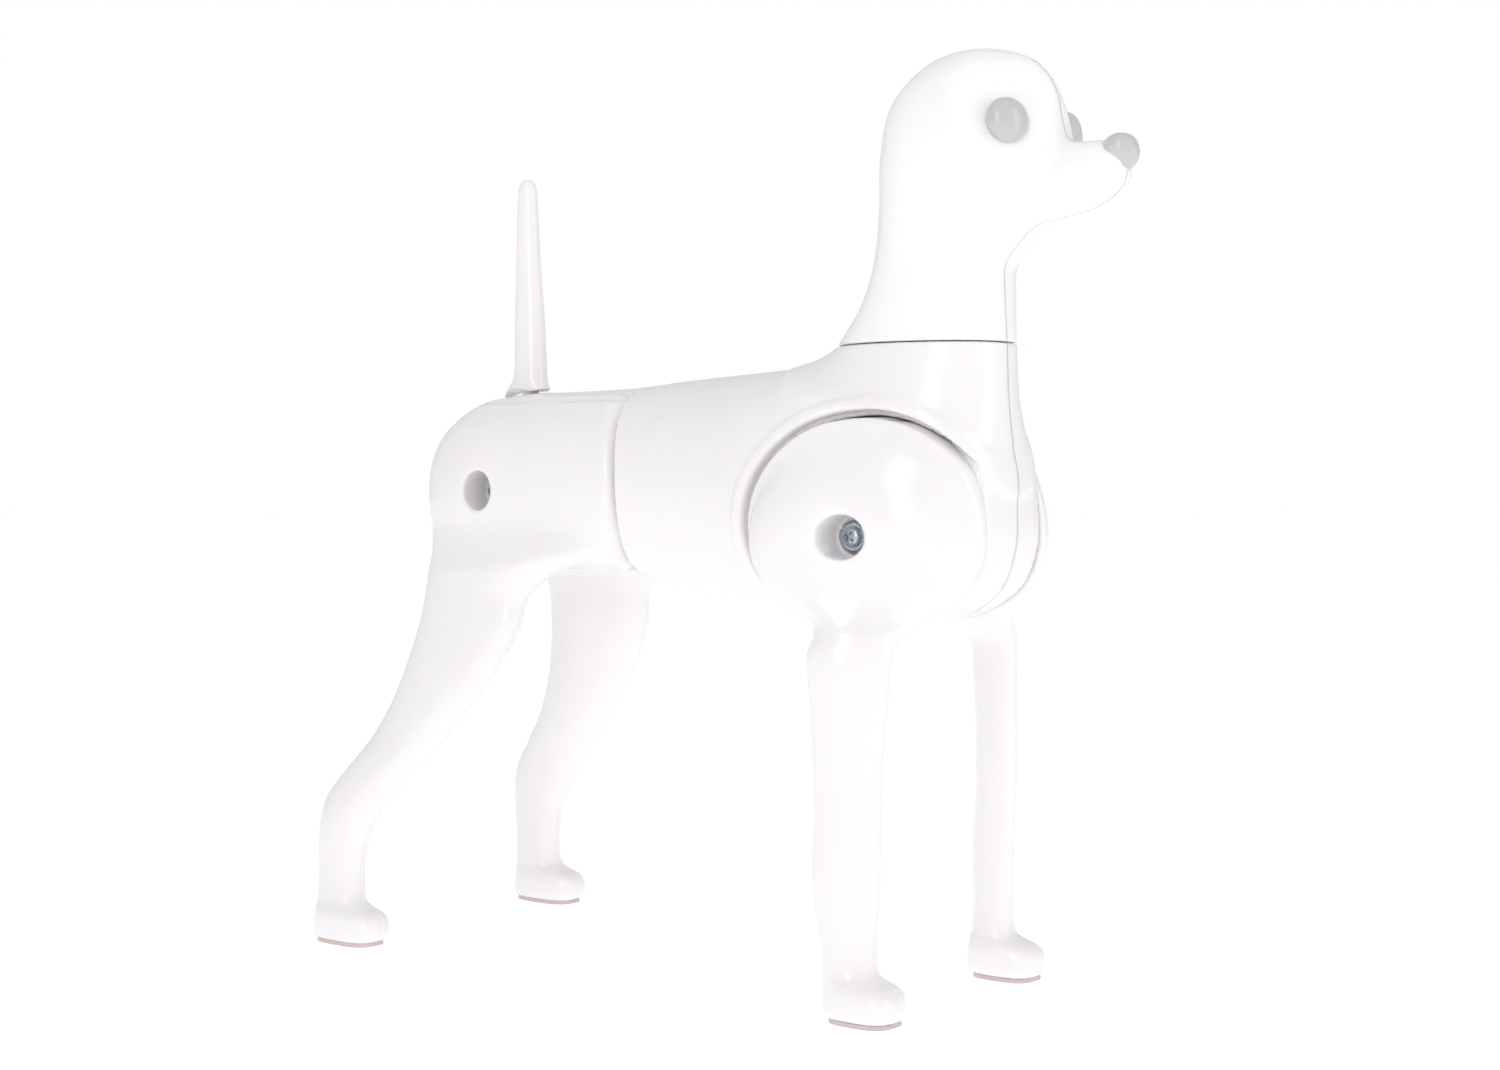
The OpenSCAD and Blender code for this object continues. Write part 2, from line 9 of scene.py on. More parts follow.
import bmesh
import bpy
import numpy as np
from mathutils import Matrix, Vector


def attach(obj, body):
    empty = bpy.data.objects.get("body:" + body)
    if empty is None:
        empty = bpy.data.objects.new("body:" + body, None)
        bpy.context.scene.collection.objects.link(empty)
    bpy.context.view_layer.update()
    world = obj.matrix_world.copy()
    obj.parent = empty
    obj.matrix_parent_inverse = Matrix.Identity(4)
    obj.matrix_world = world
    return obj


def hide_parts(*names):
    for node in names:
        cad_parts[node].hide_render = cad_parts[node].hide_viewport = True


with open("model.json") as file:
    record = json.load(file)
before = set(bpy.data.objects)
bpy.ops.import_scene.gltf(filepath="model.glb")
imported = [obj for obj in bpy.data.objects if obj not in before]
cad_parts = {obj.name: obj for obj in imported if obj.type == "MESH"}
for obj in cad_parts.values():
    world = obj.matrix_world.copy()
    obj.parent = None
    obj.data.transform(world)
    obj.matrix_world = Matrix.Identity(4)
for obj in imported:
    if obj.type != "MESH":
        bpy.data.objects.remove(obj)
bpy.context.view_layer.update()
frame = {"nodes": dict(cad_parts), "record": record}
MM = 0.001

# ---- Ribs ----
# [P0 x, P0 z, P1 x, P1 z, mid y, drift, outer half width, inner half width, squareness, thinning]
TORSO = [
    [-186, 241, -186, 231, 0, 0, 5, 5, 2, 0],
    [-184, 252, -184, 220, 0, 0, 17, 17, 2, 0],
    [-177, 266, -177, 206, 0, 0, 31, 31, 2.05, 0],
    [-164, 278, -164, 195, 0, 0, 42, 42, 2.05, 0],
    [-139, 285.5, -139, 190, 0, 0, 49, 49, 2.05, 0],
    [-105, 286, -105, 191, 0, 0, 50, 50, 2.1, 0],
    [-62, 287, -62, 191.5, 0, 0, 50, 50, 2.1, 0],
    [-25, 289.9, -25, 187, 0, 0, 51.5, 51.5, 2.1, 0],
    [14, 292.2, 14, 180, 0, 0, 56.5, 56.5, 2.15, 0],
    [37, 293.5, 52, 173.5, 0, 0, 61, 61, 2.2, 0],
    [41, 293.7, 92, 173, 0, 0, 61.5, 61.5, 2.25, 0],
    [44, 293.9, 127, 176.5, 0, 0, 60.5, 60.5, 2.4, 0],
    [46, 294.2, 149, 189, 0, 0, 58.5, 58.5, 2.55, 0],
    [48, 294.8, 158, 208, 0, 0, 55, 55, 2.65, 0],
    [51, 295.8, 159, 230, 0, 0, 48.5, 48.5, 2.55, 0],
    [55, 297.5, 157, 254, 0, 0, 40, 40, 2.35, 0],
    [60, 300, 154.5, 277, 0, 0, 36, 36, 2.1, 0],
    [66, 302.5, 153.5, 302.5, 0, 0, 33, 33, 2.1, 0]]
HEAD = [
    [66, 302.8, 153.5, 302.8, 0, 0, 33, 33, 2.1, 0],
    [80, 321, 152.5, 321, 0, 0, 32.3, 32.3, 2.1, 0],
    [88, 341, 152.5, 337, 0, 0, 32.5, 32.5, 2.1, 0],
    [92, 366, 159, 346, 0, 0, 36, 36, 2.1, 0],
    [94, 391, 164, 351, 0, 0, 40, 40, 2.1, 0],
    [101, 415, 167, 353, 0, 0, 42, 42, 2.1, 0],
    [120, 431, 169, 354, 0, 0, 42, 42, 2.1, 0],
    [142, 435, 170.5, 354.7, 0, 0, 39, 39, 2.1, -0.05],
    [162.5, 430, 173, 355.2, 0, 0, 27.5, 27.5, 2.1, -0.35],
    [173.5, 421.5, 176, 355.6, 0, 0, 19, 19, 2.1, -0.35],
    [179.3, 411, 179, 356, 0, 0, 15.5, 15.5, 2.1, -0.32],
    [181.8, 399, 182, 356.5, 0, 0, 14.3, 14.3, 2.1, -0.22],
    [185, 391, 185.2, 357, 0, 0, 13.8, 13.8, 2.1, -0.1],
    [191, 389.2, 190.2, 357.7, 0, 0, 13.3, 13.3, 2.1, 0],
    [199, 388.9, 197, 359.3, 0, 0, 12.5, 12.5, 2.1, 0],
    [207, 388, 206, 363.2, 0, 0, 10.5, 10.5, 2.1, 0],
    [212.5, 384.5, 212, 368.5, 0, 0, 7, 7, 2.1, 0],
    [214.5, 378, 214.3, 374, 0, 0, 2, 2, 2, 0]]
FRONT_LEG = [
    [101, 2, 134, 2, 60, 0, 12.5, 12.5, 3, 0],
    [99, 6, 135.5, 6, 60, 0, 14, 14, 3, 0],
    [98.5, 12.5, 135, 12.5, 60, 0, 14, 14, 2.8, 0],
    [98.5, 16, 131.5, 16, 60, -0.5, 13.3, 13.3, 2.6, 0],
    [98.3, 18.5, 125, 18.5, 60.2, -1, 12.3, 12.3, 2.4, 0],
    [98, 22, 121.5, 22, 60.5, -2, 11, 11, 2.2, 0],
    [97.5, 34, 120.8, 34, 61, -3, 9.8, 9.8, 2, 0],
    [95.5, 50, 122, 50, 61.5, -4.4, 9.5, 9.5, 2, 0],
    [94.7, 66, 122.7, 66, 62, -5.3, 9.3, 9.3, 2, 0],
    [96, 90, 123.5, 90, 62.3, -5.5, 9.2, 9.2, 2, 0],
    [95.7, 115, 124, 115, 62.3, -5.8, 9.3, 9.3, 2, 0],
    [94.3, 140, 125, 140, 61.7, -7, 9.6, 9.6, 2, 0],
    [93, 162, 126, 162, 60.5, -8.3, 10.5, 12, 2, 0],
    [92, 171, 127.5, 171, 53, -7, 15, 20, 2.1, 0.1],
    [86, 178.5, 133, 178.5, 43, -8, 21, 18.7, 2.2, 0.3],
    [66, 188, 146, 188, 36, -9, 27, 11.7, 2.4, 0.5],
    [52.5, 206, 157, 206, 34, -7, 30, 9.7, 2.4, 0.62],
    [52.5, 224, 157, 224, 34, -7, 29.5, 9.7, 2.4, 0.62],
    [59, 241, 150.5, 241, 33, -6, 25, 8.7, 2.6, 0.5],
    [70, 254.5, 139.5, 254.5, 32, -5, 18, 7.7, 2.6, 0.4],
    [83, 263, 127, 263, 31, -3, 12, 6.7, 2.6, 0.3],
    [95, 267, 115, 267, 30, -1, 7.5, 5.7, 2.5, 0.1]]
HIND_LEG = [
    [-217.5, 2, -178, 2, 76, 0, 11.5, 11.5, 3, 0],
    [-219, 6, -175, 6, 76, 0, 12.7, 12.7, 3, 0],
    [-219, 12.5, -175.5, 12.5, 76, 0, 12.7, 12.7, 2.8, 0],
    [-219, 16, -179, 16, 76, 0, 12.2, 12.2, 2.6, 0],
    [-219, 18.5, -186.5, 18.5, 75.8, 0, 11.4, 11.4, 2.4, 0],
    [-219, 22.5, -190.5, 22.5, 75.5, 0, 10.5, 10.5, 2.2, 0],
    [-219, 36, -191, 36, 75, 0, 9.8, 9.8, 2.1, 0],
    [-219.5, 50, -189, 50, 74.5, 0, 10.3, 10.3, 2.1, 0],
    [-219, 63, -183, 63, 73.5, 0, 11, 11, 2.1, 0],
    [-215.5, 76, -173.5, 76, 71.5, 0, 11.3, 11.3, 2.1, 0],
    [-203, 92, -157.5, 92, 67.5, 0, 11.7, 11.7, 2.1, 0],
    [-190, 108, -143, 108, 63, 0, 12, 12, 2.1, 0],
    [-180.5, 126, -127, 126, 58.8, 0, 12.3, 12.3, 2.1, 0],
    [-174, 145, -113, 145, 55, 0, 12.6, 12.6, 2.1, 0],
    [-169.5, 165, -103, 165, 50.5, 0, 12.8, 12.8, 2.1, 0],
    [-168, 182, -99, 182, 47, 0, 13.3, 13, 2.1, 0],
    [-169, 194, -84, 194, 43, 0, 15.5, 15, 2.2, 0],
    [-171, 203, -55, 203, 38, 0, 17, 15.5, 2.4, 0],
    [-174.5, 215, -42.5, 215, 33.5, 0, 18, 13.2, 2.5, 0],
    [-177, 233, -40, 233, 31, 0, 19, 10.7, 2.5, 0],
    [-175.5, 251, -41.6, 251, 30, 0, 17.5, 9.7, 2.5, 0],
    [-168.5, 265, -45.2, 265, 28, 0, 13.5, 7.7, 2.5, 0],
    [-153, 275, -49.6, 275, 25, 0, 7.5, 4.7, 2.5, 0],
    [-138, 280, -53, 280, 22.9, 0, 3.4, 2.6, 2.5, 0]]
TAIL = [
    [-158.5, 282.2, -127.5, 288.2, 0, 0, 8.8, 8.8, 2.2, 0],
    [-155, 287, -129, 290, 0, 0, 8.4, 8.4, 2.1, 0],
    [-150.5, 293, -130, 293, 0, 0, 8, 8, 2, 0],
    [-149, 299, -130.5, 299, 0, 0, 7.7, 7.7, 2, 0],
    [-148.7, 325, -131.8, 325, 0, 0, 7, 7, 2, 0],
    [-148, 360, -134.5, 360, 0, 0, 5.7, 5.7, 2, 0],
    [-147.2, 388, -136, 388, 0, 0, 4.8, 4.8, 2, 0],
    [-146.5, 395, -137, 395, 0, 0, 4.2, 4.2, 2, 0],
    [-144.6, 398.6, -139, 398.6, 0, 0, 2.2, 2.2, 2, 0]]

# ---- Sizes: (x, z) for a pivot axis, y for a floor. Gaps and edges are set for looks, inside the CAD box ----
SHOULDER = (105.0, 215.0)
HIP = (-130.0, 235.0)
SEAM_Z = 302.5
SEAM_GAP = 0.12
POCKET_R, POCKET_FLOOR = 57.0, 24.0
RECESS_R, RECESS_FLOOR = 92.3, 20.0
DISC_R = 53.3
HAUNCH_R = 88.6
SIDE_GAP = 0.35
WELL_R = 10.0
SHOULDER_WELL, HIP_WELL = 50.0, 33.0
WASHER_RING_R, WASHER_RING_WALL = 7.4, 1.1
SPACER, SPRING_WASHER, FLAT_WASHER = 0.3, 0.8, 1.0
SHOULDER_SCREW, HIP_SCREW = 38.1, 26.1

# ---- Details that only the visual model has ----
SHELL_LOW = 1.1
SKIN_OUT = 0.2
HAUNCH_OUT = 0.4
LIP_OUT, LIP_MID, LIP_HALF = 0.8, 3.2, 2.4
POCKET_MOUTH = 6.0
POCKET_NARROW, NARROW_Z, NARROW_RISE = 2.4, 188.0, 12.0
DIMPLE_AT, DIMPLE_DEPTH, DIMPLE_SPREAD = (-20.0, 272.0), 0.5, 30.0
RUMP_AT, RUMP_SIZE = (-139.0, 237.5), (47.0, 50.0, 48.0)
RUMP_IN = 2.0
TAIL_ARCH, TAIL_ARCH_R = (-143.0, 266.2), 22.0
DEEP = -50.0    # stands for far inside a solid
SIDES = (("left", False), ("right", True))


# ---- Distance fields ----
def round_max(a, b, r):
    """Intersection of two solids with an edge of radius r."""
    u = np.maximum(a + r, 0)
    v = np.maximum(b + r, 0)
    return np.minimum(-r, np.maximum(a, b)) + np.hypot(u, v)


def round_min(a, b, r):
    """Union of two solids with a fillet of radius r."""
    return -round_max(-a, -b, r)


def soft_min(a, b, k):
    """Union with a long soft blend of reach k."""
    h = np.maximum(k - np.abs(a - b), 0)
    return np.minimum(a, b) - h * h / (4 * k)


def about(axis, p):
    """Distance of points from a pivot axis along Y."""
    return np.hypot(p[:, 0] - axis[0], p[:, 2] - axis[1])


class Loft:
    """Signed distance to a loft over ribs, from maps of the ribs on the X-Z plane."""
    STEP = 0.8
    MARGIN = 14.0
    DENSE = 24
    END_EDGE = 1.2

    def __init__(self, ribs):
        s = np.array(ribs, float)
        n = len(s) - 1
        rows = []
        for i in range(n):
            a, b, c, d = s[max(i - 1, 0)], s[i], s[i + 1], s[min(i + 2, n)]
            for t in np.arange(self.DENSE) / self.DENSE:
                rows.append(0.5 * (2 * b + (c - a) * t + (2 * a - 5 * b + 4 * c - d) * t ** 2
                                   + (3 * b - a - 3 * c + d) * t ** 3))
        rows.append(s[-1])
        self.s = s = np.array(rows)
        xs, zs = s[:, [0, 2]], s[:, [1, 3]]
        self.x0, self.z0 = xs.min() - self.MARGIN, zs.min() - self.MARGIN
        nx = int((xs.max() - xs.min() + 2 * self.MARGIN) / self.STEP) + 2
        nz = int((zs.max() - zs.min() + 2 * self.MARGIN) / self.STEP) + 2
        gx, gz = np.meshgrid(self.x0 + np.arange(nx) * self.STEP, self.z0 + np.arange(nz) * self.STEP,
                             indexing="ij")
        maps = self.solve(gx.ravel(), gz.ravel()).reshape(nx, nz, -1)
        slopes = [np.gradient(maps[:, :, k], self.STEP, axis=a) for k in (0, 1, 2, 3) for a in (0, 1)]
        self.maps = np.concatenate([maps, np.stack(slopes, -1)], -1)

    def solve(self, x, z):
        """For each column: t along its rib, mid y, outer and inner half widths, squareness and
        distance past the loft's ends."""
        s = self.s
        cx, cz = (s[:, 0] + s[:, 2]) / 2, (s[:, 1] + s[:, 3]) / 2
        hx, hz = (s[:, 2] - s[:, 0]) / 2, (s[:, 3] - s[:, 1]) / 2
        length = np.hypot(hx, hz)
        ux, uz = hx / length, hz / length
        best = np.full(len(x), np.inf)
        u = np.zeros(len(x))
        before = None
        for k in range(len(s)):
            dx, dz = x - cx[k], z - cz[k]
            side = ux[k] * dz - uz[k] * dx
            t = (dx * ux[k] + dz * uz[k]) / length[k]
            if before is not None:
                p_side, p_t = before
                cross = (p_side >= 0) & (side < 0)
                w = p_side / np.where(cross, p_side - side, 1)
                tt = np.abs(p_t + (t - p_t) * w)
                better = cross & (tt < best)
                best = np.where(better, tt, best)
                u = np.where(better, k - 1 + w, u)
            before = (side, t)
            if k == 0:
                first = side
        last = before[0]
        free = ~np.isfinite(best)
        low = free & (first < 0)
        u = np.where(free & ~low, len(s) - 1, u)
        end = np.where(low, -first, np.where(free, last, DEEP))
        end = np.where(~free, np.maximum(-first, last), end)
        i = np.minimum(u.astype(int), len(s) - 2)
        f = (u - i)[:, None]
        r = s[i] * (1 - f) + s[i + 1] * f
        c = (r[:, 0:2] + r[:, 2:4]) / 2
        h = (r[:, 2:4] - r[:, 0:2]) / 2
        hh = np.hypot(h[:, 0], h[:, 1])
        t = ((x - c[:, 0]) * h[:, 0] + (z - c[:, 1]) * h[:, 1]) / hh ** 2
        tc = np.clip(t, -1.2, 1.2)
        mid = r[:, 4] + r[:, 5] * tc
        outer = r[:, 6] * (1 - r[:, 9] * tc)
        return np.stack([t, mid, outer, r[:, 7], r[:, 8], end], -1)

    def mid_at(self, p):
        """Mid y of the loft under each point."""
        i = np.clip(((p[:, 0] - self.x0) / self.STEP).astype(int), 0, self.maps.shape[0] - 1)
        k = np.clip(((p[:, 2] - self.z0) / self.STEP).astype(int), 0, self.maps.shape[1] - 1)
        return self.maps[i, k, 1]

    def __call__(self, p):
        fx = np.clip((p[:, 0] - self.x0) / self.STEP, 0, self.maps.shape[0] - 1.001)
        fz = np.clip((p[:, 2] - self.z0) / self.STEP, 0, self.maps.shape[1] - 1.001)
        i, k = fx.astype(int), fz.astype(int)
        a, b = (fx - i)[:, None], (fz - k)[:, None]
        m = ((self.maps[i, k] * (1 - a) + self.maps[i + 1, k] * a) * (1 - b)
             + (self.maps[i, k + 1] * (1 - a) + self.maps[i + 1, k + 1] * a) * b)
        t, mid, outer, inner, n, end = m[:, :6].T
        tx, tz, mx, mz, ox, oz, ix, iz = m[:, 6:14].T
        out = p[:, 1] >= mid
        w = np.where(out, outer, inner)
        wx, wz = np.where(out, ox, ix), np.where(out, oz, iz)
        q = (p[:, 1] - mid) / w
        at, aq = np.abs(t) + 1e-6, np.abs(q) + 1e-6
        total = at ** n + aq ** n
        g = total ** (1 / n)
        scale = total ** (1 / n - 1)
        st, sq = np.sign(t) * at ** (n - 1) * scale, np.sign(q) * aq ** (n - 1) * scale
        gx = st * tx + sq * (-mx - q * wx) / w
        gz = st * tz + sq * (-mz - q * wz) / w
        gy = sq / w
        slope = np.sqrt(gx * gx + gy * gy + gz * gz)
        d = (g - 1) / np.maximum(slope, 0.5 / np.maximum(w, 1))
        return round_max(d, end, self.END_EDGE)


def gradient(field, p, h=0.3):
    """Central differences of a field over the distance h."""
    g = np.empty_like(p)
    for a in range(3):
        step = np.zeros(3)
        step[a] = h
        g[:, a] = (field(p + step) - field(p - step)) / (2 * h)
    return g


CORNERS = [(i, j, k) for i in (0, 1) for j in (0, 1) for k in (0, 1)]
EDGES = [(a, b) for a in range(8) for b in range(a + 1, 8)
         if sum(x != y for x, y in zip(CORNERS[a], CORNERS[b])) == 1]


def grid_mesh(field, low, high, step):
    """Points, quads and normals of the surface where field is 0, one point per grid cell it crosses."""
    low, high = np.array(low, float), np.array(high, float)
    shape = np.ceil((high - low) / step).astype(int) + 1
    axes = [low[a] + np.arange(shape[a]) * step for a in range(3)]
    f = np.empty(shape)
    yz = np.stack(np.meshgrid(axes[1], axes[2], indexing="ij"), -1).reshape(-1, 2)
    for i in range(shape[0]):
        p = np.column_stack([np.full(len(yz), axes[0][i]), yz])
        f[i] = field(p).reshape(shape[1], shape[2])
    inside = f < 0
    nx, ny, nz = shape - 1
    cell = [f[i:nx + i, j:ny + j, k:nz + k] for i, j, k in CORNERS]
    signs = sum((c < 0).astype(int) for c in cell)
    active = (signs > 0) & (signs < 8)
    idx = np.argwhere(active)
    number = np.full(active.shape, -1)
    number[active] = np.arange(len(idx))
    value = np.stack([c[active] for c in cell], -1)
    total, count = np.zeros((len(idx), 3)), np.zeros(len(idx))
    corner = np.array(CORNERS, float)
    for a, b in EDGES:
        va, vb = value[:, a], value[:, b]
        hit = (va < 0) != (vb < 0)
        w = np.where(hit, va / np.where(hit, va - vb, 1), 0)[:, None]
        total += np.where(hit[:, None], corner[a] * (1 - w) + corner[b] * w, 0)
        count += hit
    points = low + (idx + total / count[:, None]) * step
    quads = []
    for axis in range(3):
        a1, a2 = (axis + 1) % 3, (axis + 2) % 3
        head = [slice(1, None)] * 3
        head[axis] = slice(None)
        near = [slice(None)] * 3
        near[axis] = slice(0, shape[axis] - 1)
        far = list(near)
        far[axis] = slice(1, shape[axis])
        va, vb = inside[tuple(near)], inside[tuple(far)]
        where = np.argwhere(va != vb)
        u, v = where[:, a1], where[:, a2]
        where = where[(u > 0) & (v > 0) & (u < shape[a1] - 1) & (v < shape[a2] - 1)]
        ring = []
        for d1, d2 in ((0, 0), (-1, 0), (-1, -1), (0, -1)):
            c = where.copy()
            c[:, a1] += d1
            c[:, a2] += d2
            ring.append(number[tuple(c.T)])
        q = np.stack(ring, -1)
        flip = vb[tuple(where.T)]
        q[flip] = q[flip][:, ::-1]
        quads.append(q)
    quads = np.concatenate(quads)
    limit = 0.5 * step
    for _ in range(3):
        g = gradient(field, points)
        move = field(points) / np.maximum((g * g).sum(1), 0.05)
        points = points - g * np.clip(move, -limit, limit)[:, None]
    normals = gradient(field, points)
    normals /= np.maximum(np.linalg.norm(normals, axis=1), 1e-9)[:, None]
    return points, quads, normals


def as_object(name, points, quads, normals=None, mirror=False, seam=None):
    """Blender object from millimetre points; mirror puts it on the dog's other side."""
    points = points.copy()
    if mirror:
        points[:, 1] *= -1
        quads = quads[:, ::-1]
        if normals is not None:
            normals = normals * [1, -1, 1]
    mesh = bpy.data.meshes.new(name)
    mesh.vertices.add(len(points))
    mesh.vertices.foreach_set("co", (points * MM).astype(np.float32).ravel())
    sides = quads.shape[1]
    mesh.loops.add(quads.size)
    mesh.loops.foreach_set("vertex_index", quads.astype(np.int32).ravel())
    mesh.polygons.add(len(quads))
    mesh.polygons.foreach_set("loop_start", np.arange(0, quads.size, sides, dtype=np.int32))
    mesh.update(calc_edges=True)
    mesh.validate()
    mesh.polygons.foreach_set("use_smooth", np.ones(len(mesh.polygons), bool))
    # Per-point distance from the joint plane, which the material reads to paint a thin line of shade along the
    # joint.
    if seam is not None:
        layer = mesh.attributes.new("seam", "FLOAT", "POINT")
        layer.data.foreach_set("value", seam.astype(np.float32))
    if normals is not None:
        mesh.normals_split_custom_set_from_vertices(normals.tolist())
    mesh.update()
    o = bpy.data.objects.new(name, mesh)
    bpy.context.scene.collection.objects.link(o)
    return o


# ---- Fields of the pieces, on the dog's left side ----
torso_loft, head_loft = Loft(TORSO), Loft(HEAD)
front_loft, hind_loft, tail_loft = Loft(FRONT_LEG), Loft(HIND_LEG), Loft(TAIL)


def mirrored(p):
    """Points brought to the dog's left side."""
    q = p.copy()
    q[:, 1] = np.abs(q[:, 1])
    return q


def torso_field(p):
    """Barrel with a lipped shoulder pocket, a step behind for the haunch and a flow mark on the flank."""
    p = mirrored(p)
    x, y, z = p.T
    skin = torso_loft(p)
    rho = about(SHOULDER, p)
    lip = round_max(skin - LIP_OUT, np.abs(rho - POCKET_R - LIP_MID) - LIP_HALF, 1.6)
    body = round_min(skin, lip, 2.5)
    open_r = POCKET_R - POCKET_NARROW * np.clip((z - NARROW_Z) / NARROW_RISE, 0, 1)
    mouth = round_max(rho - POCKET_R, -POCKET_MOUTH - skin, 0.8)
    pocket = round_max(round_min(rho - open_r, mouth, 0.8), POCKET_FLOOR - y, 0.8)
    body = round_max(body, -pocket, 2.2)
    recess = round_max(about(HIP, p) - RECESS_R, RECESS_FLOOR - y, 1.5)
    body = round_max(body, -recess, 1.2)
    away = (x - DIMPLE_AT[0]) ** 2 + (z - DIMPLE_AT[1]) ** 2
    dimple = DIMPLE_DEPTH * np.exp(-away / DIMPLE_SPREAD)
    return round_max(body + dimple, z - SEAM_Z, 0.4)


def head_field(p):
    """Head and neck, cut flat a hair above the neck seam."""
    p = mirrored(p)
    return round_max(head_loft(p), SEAM_Z + SEAM_GAP - p[:, 2], 0.4)


def bored(leg, p, axis, floor_y):
    """Leg with a counterbore, and on its floor the small ring that holds the washer."""
    rho = about(axis, p)
    y = p[:, 1]
    hole = round_max(rho - WELL_R, floor_y - y, 1.0)
    ring = np.maximum(np.abs(rho - WASHER_RING_R) - WASHER_RING_WALL / 2,
                      np.abs(y - floor_y - SPACER) - FLAT_WASHER - SPRING_WASHER)
    return round_min(round_max(leg, -hole, 1.8), ring, 0.5)


def front_field(p):
    """Front leg under its shoulder disc, whose face carries the torso's skin on."""
    y, z = p[:, 1], p[:, 2]
    disc = round_max(torso_loft(p) - SKIN_OUT, about(SHOULDER, p) - DISC_R, 1.5)
    leg = round_max(soft_min(front_loft(p), disc, 4.0), POCKET_FLOOR + SIDE_GAP - y, 1.0)
    leg = bored(leg, p, SHOULDER, SHOULDER_WELL)
    return round_max(leg, SHELL_LOW - z, 0.8)


def hind_field(p):
    """Hind leg under its haunch; an egg over the rump keeps the blend from growing behind it."""
    x, y, z = p.T
    egg = np.sqrt((np.minimum(x - RUMP_AT[0], 0) / RUMP_SIZE[0]) ** 2 + (y / RUMP_SIZE[1]) ** 2
                  + ((z - RUMP_AT[1]) / RUMP_SIZE[2]) ** 2)
    back = np.where(x < RUMP_AT[0], (egg - 1) * RUMP_SIZE[0] - RUMP_IN, DEEP)
    haunch = round_max(np.maximum(torso_loft(p) - HAUNCH_OUT, back), about(HIP, p) - HAUNCH_R, 5.0)
    leg = round_max(soft_min(hind_loft(p), haunch, 9.0), RECESS_FLOOR + SIDE_GAP - y, 1.5)
    leg = bored(leg, p, HIP, HIP_WELL)
    return round_max(leg, SHELL_LOW - z, 0.8)


def tail_field(p):
    """Tail with an arch cut from its foot, over the rump."""
    return round_max(tail_loft(p), TAIL_ARCH_R - about(TAIL_ARCH, p), 1.2)


# ---- Materials ----
def new_material(name):
    m = bpy.data.materials.new(name)
    m.use_nodes = True
    return m, m.node_tree.nodes, m.node_tree.links, m.node_tree.nodes["Principled BSDF"]


def noise(nodes, links, coords, scale):
    """Noise value over the object's own coordinates."""
    n = nodes.new("ShaderNodeTexNoise")
    n.inputs["Scale"].default_value = scale
    n.inputs["Detail"].default_value = 3.0
    links.new(coords.outputs["Object"], n.inputs["Vector"])
    return n.outputs["Fac"]


def spread(nodes, links, source, low, high, socket):
    """Maps a noise to the range low..high and feeds a socket."""
    r = nodes.new("ShaderNodeMapRange")
    r.inputs["From Min"].default_value = 0.35
    r.inputs["From Max"].default_value = 0.65
    r.inputs["To Min"].default_value = low
    r.inputs["To Max"].default_value = high
    links.new(source, r.inputs["Value"])
    links.new(r.outputs["Result"], socket)


def cloudy(nodes, links, coords, scale, light, dark):
    """Colour that drifts between two tints."""
    mix = nodes.new("ShaderNodeMix")
    mix.data_type = "RGBA"
    mix.inputs["A"].default_value = (*light, 1)
    mix.inputs["B"].default_value = (*dark, 1)
    spread(nodes, links, noise(nodes, links, coords, scale), 0.0, 1.0, mix.inputs["Factor"])
    return mix.outputs["Result"]


def grain(nodes, links, bsdf, height, strength, distance):
    """Fine bump on the shader."""
    b = nodes.new("ShaderNodeBump")
    b.inputs["Strength"].default_value = strength
    b.inputs["Distance"].default_value = distance
    links.new(height, b.inputs["Height"])
    links.new(b.outputs["Normal"], bsdf.inputs["Normal"])


def painted_joint_shade(nodes, links, colour, dark, strength):
    """Painted shade: darkens a colour along the parting line, where the mesh's distance from the joint plane
    is near zero millimetres, as the shade that a hairline joint between shells would hold.
    """
    at = nodes.new("ShaderNodeAttribute")
    at.attribute_name = "seam"
    away = nodes.new("ShaderNodeMath")
    away.operation = "ABSOLUTE"
    links.new(at.outputs["Fac"], away.inputs[0])
    edge = nodes.new("ShaderNodeMapRange")
    edge.interpolation_type = "SMOOTHSTEP"
    edge.inputs["From Min"].default_value = 0.10
    edge.inputs["From Max"].default_value = 0.42
    edge.inputs["To Min"].default_value = 1.0
    edge.inputs["To Max"].default_value = 0.0
    links.new(away.outputs[0], edge.inputs["Value"])
    share = nodes.new("ShaderNodeMath")
    share.operation = "MULTIPLY"
    share.inputs[1].default_value = strength
    links.new(edge.outputs["Result"], share.inputs[0])
    part = nodes.new("ShaderNodeMix")
    part.data_type = "RGBA"
    part.inputs["B"].default_value = (dark[0] * 0.62, dark[1] * 0.58, dark[2] * 0.6, 1)
    links.new(share.outputs[0], part.inputs["Factor"])
    links.new(colour, part.inputs["A"])
    return part.outputs["Result"]


def moulded_plastic(name, light, dark, rough, bump, seam=0.0, glow=0.0):
    """Glossy moulded plastic: faint cloudy tint, faint orange peel and, on shells, a fine parting line
    darkened with painted shade.
    """
    m, nodes, links, bsdf = new_material(name)
    coords = nodes.new("ShaderNodeTexCoord")
    colour = cloudy(nodes, links, coords, 18.0, light, dark)
    if seam:
        colour = painted_joint_shade(nodes, links, colour, dark, seam)
    links.new(colour, bsdf.inputs["Base Color"])
    spread(nodes, links, noise(nodes, links, coords, 55.0), rough * 0.85, rough * 1.2,
           bsdf.inputs["Roughness"])
    grain(nodes, links, bsdf, noise(nodes, links, coords, 260.0), bump, 0.0002)
    bsdf.inputs["IOR"].default_value = 1.5
    bsdf.inputs["Coat Weight"].default_value = 0.25
    bsdf.inputs["Coat Roughness"].default_value = 0.08
    bsdf.inputs["Subsurface Weight"].default_value = glow
    bsdf.inputs["Subsurface Radius"].default_value = (1.0, 0.72, 0.68)
    bsdf.inputs["Subsurface Scale"].default_value = 0.005
    return m


